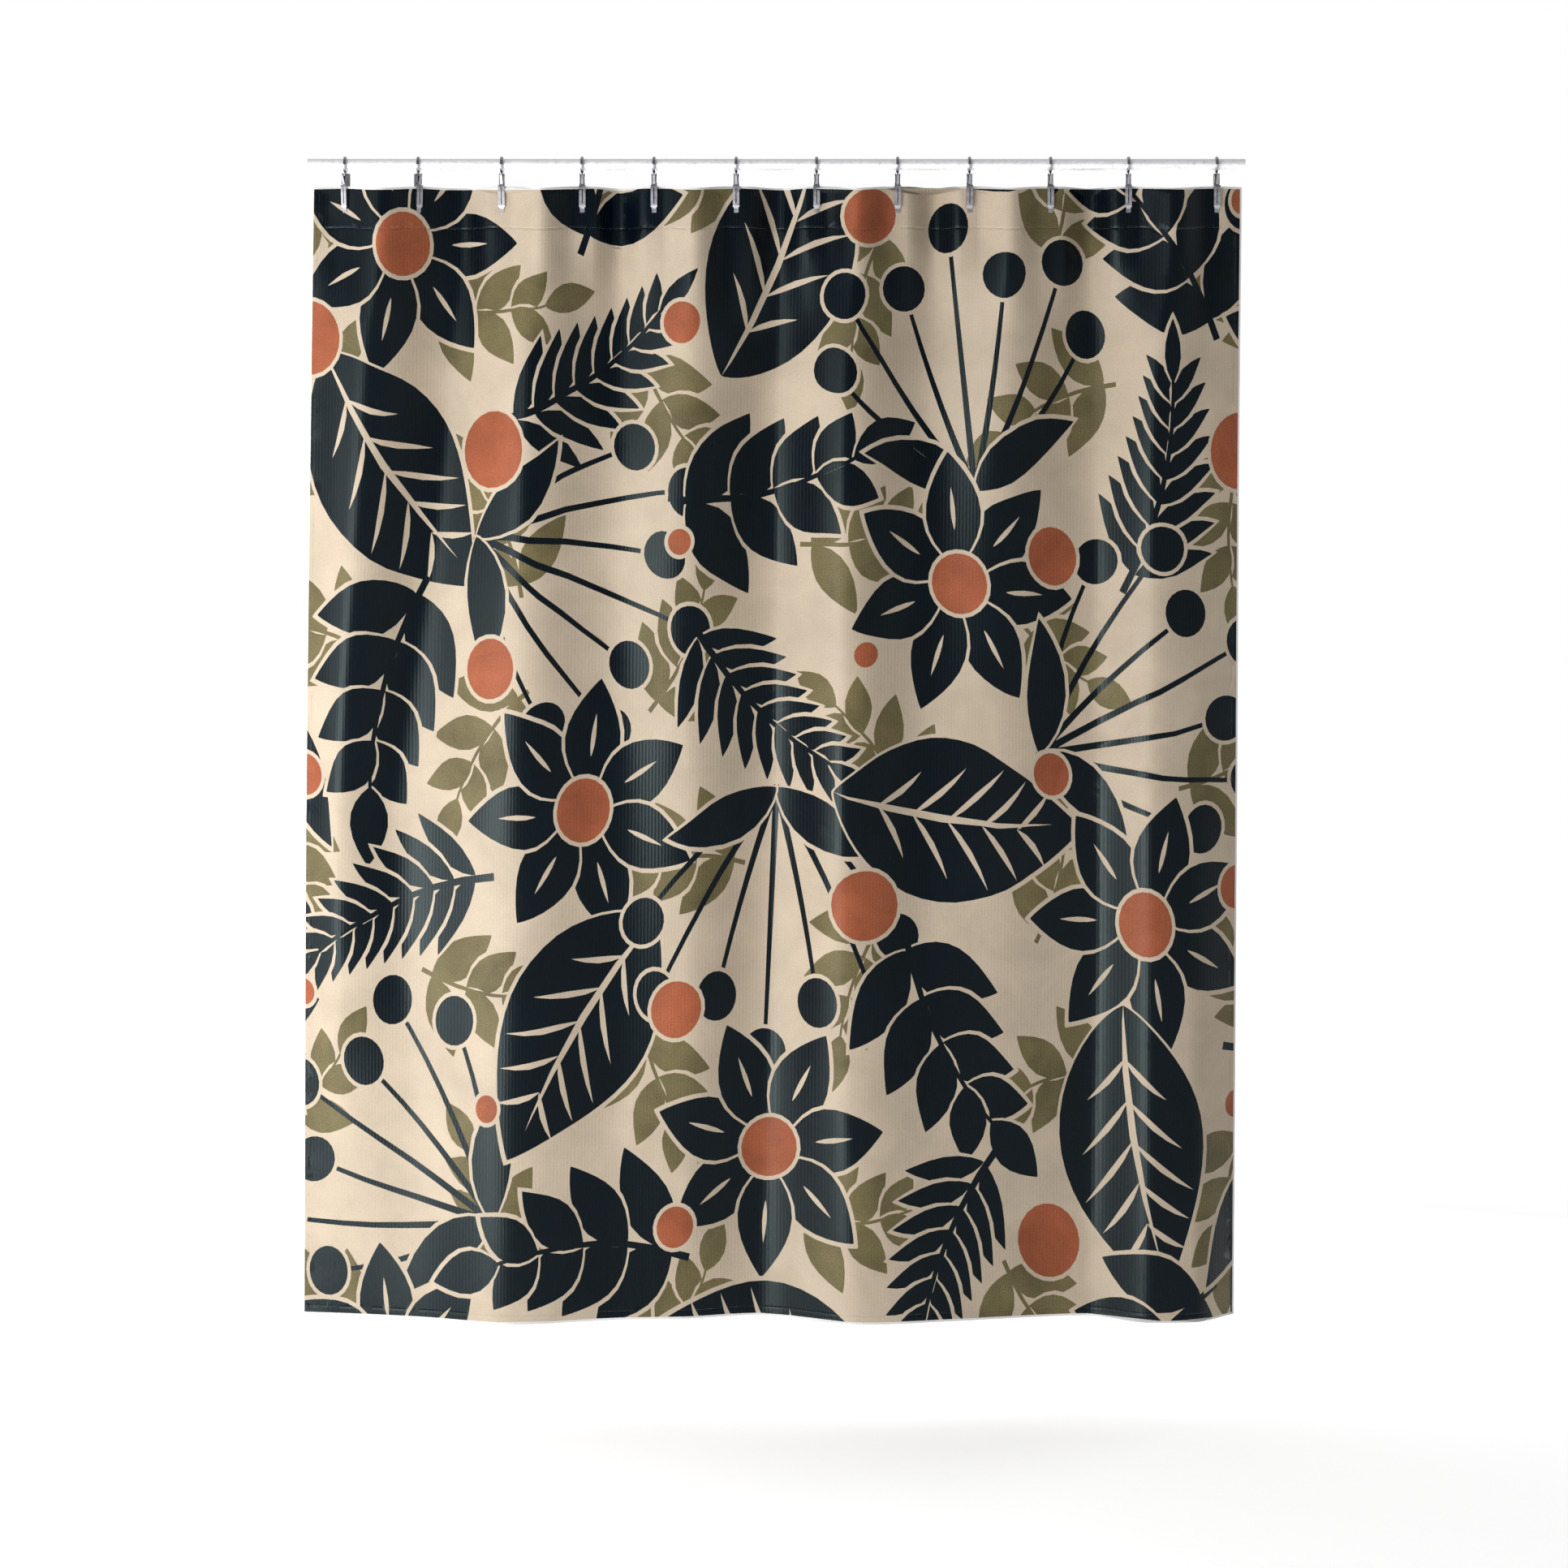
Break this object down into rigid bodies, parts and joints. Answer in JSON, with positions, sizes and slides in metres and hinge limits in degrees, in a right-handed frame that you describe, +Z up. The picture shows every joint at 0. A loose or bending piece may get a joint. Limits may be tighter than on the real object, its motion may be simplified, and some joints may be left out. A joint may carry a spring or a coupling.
{
  "type": "shower curtain",
  "caption": "Printed fabric shower curtain hanging in soft folds from pinch-clip rings on a straight rod; the rings slide, the clips open and the curtain sways.",
  "frame": {"origin": "centre of the rod's left end face, seen from the printed side", "axes": "+X along the rod to its right end, -Y to the printed front of the curtain, +Z up"},
  "size_m": [1.551, 0.0786, 1.9293],
  "materials": {
    "rod": "polished",
    "plug": "satin",
    "ring": "polished",
    "clip_back": "satin",
    "clip_front": "satin",
    "curtain": "matte"
  },
  "bodies": {
    "rod": {"rod_tube": "rod", "rod_plugs": "plug"},
    "ring_01": {"ring_01": "ring"},
    "ring_02": {"ring_02": "ring"},
    "ring_03": {"ring_03": "ring"},
    "ring_04": {"ring_04": "ring"},
    "ring_05": {"ring_05": "ring"},
    "ring_06": {"ring_06": "ring"},
    "ring_07": {"ring_07": "ring"},
    "ring_08": {"ring_08": "ring"},
    "ring_09": {"ring_09": "ring"},
    "ring_10": {"ring_10": "ring"},
    "ring_11": {"ring_11": "ring"},
    "ring_12": {"ring_12": "ring"},
    "clip_01": {"clip_back_01": "clip_back", "cloth_01": "curtain"},
    "clip_02": {"clip_back_02": "clip_back", "cloth_02": "curtain"},
    "clip_03": {"clip_back_03": "clip_back", "cloth_03": "curtain"},
    "clip_04": {"clip_back_04": "clip_back", "cloth_04": "curtain"},
    "clip_05": {"clip_back_05": "clip_back", "cloth_05": "curtain"},
    "clip_06": {"clip_back_06": "clip_back", "cloth_06": "curtain"},
    "clip_07": {"clip_back_07": "clip_back", "cloth_07": "curtain"},
    "clip_08": {"clip_back_08": "clip_back", "cloth_08": "curtain"},
    "clip_09": {"clip_back_09": "clip_back", "cloth_09": "curtain"},
    "clip_10": {"clip_back_10": "clip_back", "cloth_10": "curtain"},
    "clip_11": {"clip_back_11": "clip_back", "cloth_11": "curtain"},
    "clip_12": {"clip_back_12": "clip_back", "cloth_12": "curtain"},
    "jaw_01": {"clip_jaw_01": "clip_front"},
    "jaw_02": {"clip_jaw_02": "clip_front"},
    "jaw_03": {"clip_jaw_03": "clip_front"},
    "jaw_04": {"clip_jaw_04": "clip_front"},
    "jaw_05": {"clip_jaw_05": "clip_front"},
    "jaw_06": {"clip_jaw_06": "clip_front"},
    "jaw_07": {"clip_jaw_07": "clip_front"},
    "jaw_08": {"clip_jaw_08": "clip_front"},
    "jaw_09": {"clip_jaw_09": "clip_front"},
    "jaw_10": {"clip_jaw_10": "clip_front"},
    "jaw_11": {"clip_jaw_11": "clip_front"},
    "jaw_12": {"clip_jaw_12": "clip_front"}
  },
  "joints": [
    {"name": "draw_01", "type": "slide", "parent": "rod", "child": "ring_01", "axis": [-1, 0, 0], "range_m": [0, 0.0446], "deforming": ["cloth_01"]},
    {"name": "draw_02", "type": "slide", "parent": "rod", "child": "ring_02", "axis": [-1, 0, 0], "range_m": [0, 0.139], "deforming": ["cloth_02"]},
    {"name": "draw_03", "type": "slide", "parent": "rod", "child": "ring_03", "axis": [-1, 0, 0], "range_m": [0, 0.2466], "deforming": ["cloth_03"]},
    {"name": "draw_04", "type": "slide", "parent": "rod", "child": "ring_04", "axis": [-1, 0, 0], "range_m": [0, 0.3504], "deforming": ["cloth_04"]},
    {"name": "draw_05", "type": "slide", "parent": "rod", "child": "ring_05", "axis": [-1, 0, 0], "range_m": [0, 0.4432], "deforming": ["cloth_05"]},
    {"name": "draw_06", "type": "slide", "parent": "rod", "child": "ring_06", "axis": [-1, 0, 0], "range_m": [0, 0.5493], "deforming": ["cloth_06"]},
    {"name": "draw_07", "type": "slide", "parent": "rod", "child": "ring_07", "axis": [-1, 0, 0], "range_m": [0, 0.653], "deforming": ["cloth_07"]},
    {"name": "draw_08", "type": "slide", "parent": "rod", "child": "ring_08", "axis": [-1, 0, 0], "range_m": [0, 0.7575], "deforming": ["cloth_08"]},
    {"name": "draw_09", "type": "slide", "parent": "rod", "child": "ring_09", "axis": [-1, 0, 0], "range_m": [0, 0.8503], "deforming": ["cloth_09"]},
    {"name": "draw_10", "type": "slide", "parent": "rod", "child": "ring_10", "axis": [-1, 0, 0], "range_m": [0, 0.9549], "deforming": ["cloth_10"]},
    {"name": "draw_11", "type": "slide", "parent": "rod", "child": "ring_11", "axis": [-1, 0, 0], "range_m": [0, 1.0555], "deforming": ["cloth_11"]},
    {"name": "draw", "type": "slide", "parent": "rod", "child": "ring_12", "axis": [-1, 0, 0], "range_m": [0, 1.1693], "deforming": ["cloth_12"]},
    {"name": "sway_01", "type": "hinge", "parent": "ring_01", "child": "clip_01", "pos_m": [0.062, 0, -0.017], "axis": [1, 0, 0], "range_deg": [-12, 12]},
    {"name": "sway_02", "type": "hinge", "parent": "ring_02", "child": "clip_02", "pos_m": [0.183, 0, -0.017], "axis": [1, 0, 0], "range_deg": [-12, 12]},
    {"name": "sway_03", "type": "hinge", "parent": "ring_03", "child": "clip_03", "pos_m": [0.321, 0, -0.017], "axis": [1, 0, 0], "range_deg": [-12, 12]},
    {"name": "sway_04", "type": "hinge", "parent": "ring_04", "child": "clip_04", "pos_m": [0.454, 0, -0.017], "axis": [1, 0, 0], "range_deg": [-12, 12]},
    {"name": "sway_05", "type": "hinge", "parent": "ring_05", "child": "clip_05", "pos_m": [0.573, 0, -0.017], "axis": [1, 0, 0], "range_deg": [-12, 12]},
    {"name": "sway_06", "type": "hinge", "parent": "ring_06", "child": "clip_06", "pos_m": [0.709, 0, -0.017], "axis": [1, 0, 0], "range_deg": [-12, 12]},
    {"name": "sway_07", "type": "hinge", "parent": "ring_07", "child": "clip_07", "pos_m": [0.842, 0, -0.017], "axis": [1, 0, 0], "range_deg": [-12, 12]},
    {"name": "sway_08", "type": "hinge", "parent": "ring_08", "child": "clip_08", "pos_m": [0.976, 0, -0.017], "axis": [1, 0, 0], "range_deg": [-12, 12]},
    {"name": "sway_09", "type": "hinge", "parent": "ring_09", "child": "clip_09", "pos_m": [1.095, 0, -0.017], "axis": [1, 0, 0], "range_deg": [-12, 12]},
    {"name": "sway_10", "type": "hinge", "parent": "ring_10", "child": "clip_10", "pos_m": [1.229, 0, -0.017], "axis": [1, 0, 0], "range_deg": [-12, 12]},
    {"name": "sway_11", "type": "hinge", "parent": "ring_11", "child": "clip_11", "pos_m": [1.358, 0, -0.017], "axis": [1, 0, 0], "range_deg": [-12, 12]},
    {"name": "sway", "type": "hinge", "parent": "ring_12", "child": "clip_12", "pos_m": [1.504, 0, -0.017], "axis": [1, 0, 0], "range_deg": [-12, 12]},
    {"name": "open_01", "type": "hinge", "parent": "clip_01", "child": "jaw_01", "pos_m": [0.06256, 0.00083, -0.031], "axis": [-0.829, 0.5592, 0], "range_deg": [0, 18], "stiffness_Nm_per_rad": 0.12, "springref_deg": -34.38},
    {"name": "open_02", "type": "hinge", "parent": "clip_02", "child": "jaw_02", "pos_m": [0.18244, 0.00083, -0.031], "axis": [-0.829, -0.5592, 0], "range_deg": [0, 18], "stiffness_Nm_per_rad": 0.12, "springref_deg": -34.38},
    {"name": "open_03", "type": "hinge", "parent": "clip_03", "child": "jaw_03", "pos_m": [0.3211, 0.001, -0.031], "axis": [-0.9945, 0.1045, 0], "range_deg": [0, 18], "stiffness_Nm_per_rad": 0.12, "springref_deg": -34.38},
    {"name": "open_04", "type": "hinge", "parent": "clip_04", "child": "jaw_04", "pos_m": [0.45393, 0.001, -0.031], "axis": [-0.9976, -0.0698, 0], "range_deg": [0, 18], "stiffness_Nm_per_rad": 0.12, "springref_deg": -34.38},
    {"name": "open_05", "type": "hinge", "parent": "clip_05", "child": "jaw_05", "pos_m": [0.57303, 0.001, -0.031], "axis": [-0.9994, 0.0349, 0], "range_deg": [0, 18], "stiffness_Nm_per_rad": 0.12, "springref_deg": -34.38},
    {"name": "open_06", "type": "hinge", "parent": "clip_06", "child": "jaw_06", "pos_m": [0.70907, 0.001, -0.031], "axis": [-0.9976, 0.0698, 0], "range_deg": [0, 18], "stiffness_Nm_per_rad": 0.12, "springref_deg": -34.38},
    {"name": "open_07", "type": "hinge", "parent": "clip_07", "child": "jaw_07", "pos_m": [0.842, 0.001, -0.031], "axis": [-1, 0, 0], "range_deg": [0, 18], "stiffness_Nm_per_rad": 0.12, "springref_deg": -34.38},
    {"name": "open_08", "type": "hinge", "parent": "clip_08", "child": "jaw_08", "pos_m": [0.97596, 0.001, -0.031], "axis": [-0.9994, -0.0349, 0], "range_deg": [0, 18], "stiffness_Nm_per_rad": 0.12, "springref_deg": -34.38},
    {"name": "open_09", "type": "hinge", "parent": "clip_09", "child": "jaw_09", "pos_m": [1.09491, 0.001, -0.031], "axis": [-0.9962, -0.0872, 0], "range_deg": [0, 18], "stiffness_Nm_per_rad": 0.12, "springref_deg": -34.38},
    {"name": "open_10", "type": "hinge", "parent": "clip_10", "child": "jaw_10", "pos_m": [1.22895, 0.001, -0.031], "axis": [-0.9986, -0.0523, 0], "range_deg": [0, 18], "stiffness_Nm_per_rad": 0.12, "springref_deg": -34.38},
    {"name": "open_11", "type": "hinge", "parent": "clip_11", "child": "jaw_11", "pos_m": [1.358, 0.001, -0.031], "axis": [-1, 0, 0], "range_deg": [0, 18], "stiffness_Nm_per_rad": 0.12, "springref_deg": -34.38},
    {"name": "open_12", "type": "hinge", "parent": "clip_12", "child": "jaw_12", "pos_m": [1.50386, 0.00099, -0.031], "axis": [-0.9903, -0.1392, 0], "range_deg": [0, 18], "stiffness_Nm_per_rad": 0.12, "springref_deg": -34.38}
  ],
  "couplings": [
    {"joint": "draw_01", "follows": "draw", "ratio": 0.038025},
    {"joint": "draw_02", "follows": "draw", "ratio": 0.11875},
    {"joint": "draw_03", "follows": "draw", "ratio": 0.21081},
    {"joint": "draw_04", "follows": "draw", "ratio": 0.29953},
    {"joint": "draw_05", "follows": "draw", "ratio": 0.37892},
    {"joint": "draw_06", "follows": "draw", "ratio": 0.46965},
    {"joint": "draw_07", "follows": "draw", "ratio": 0.55837},
    {"joint": "draw_08", "follows": "draw", "ratio": 0.64777},
    {"joint": "draw_09", "follows": "draw", "ratio": 0.72715},
    {"joint": "draw_10", "follows": "draw", "ratio": 0.81654},
    {"joint": "draw_11", "follows": "draw", "ratio": 0.9026},
    {"joint": "sway_01", "follows": "sway", "ratio": 1},
    {"joint": "sway_02", "follows": "sway", "ratio": 1},
    {"joint": "sway_03", "follows": "sway", "ratio": 1},
    {"joint": "sway_04", "follows": "sway", "ratio": 1},
    {"joint": "sway_05", "follows": "sway", "ratio": 1},
    {"joint": "sway_06", "follows": "sway", "ratio": 1},
    {"joint": "sway_07", "follows": "sway", "ratio": 1},
    {"joint": "sway_08", "follows": "sway", "ratio": 1},
    {"joint": "sway_09", "follows": "sway", "ratio": 1},
    {"joint": "sway_10", "follows": "sway", "ratio": 1},
    {"joint": "sway_11", "follows": "sway", "ratio": 1}
  ]
}
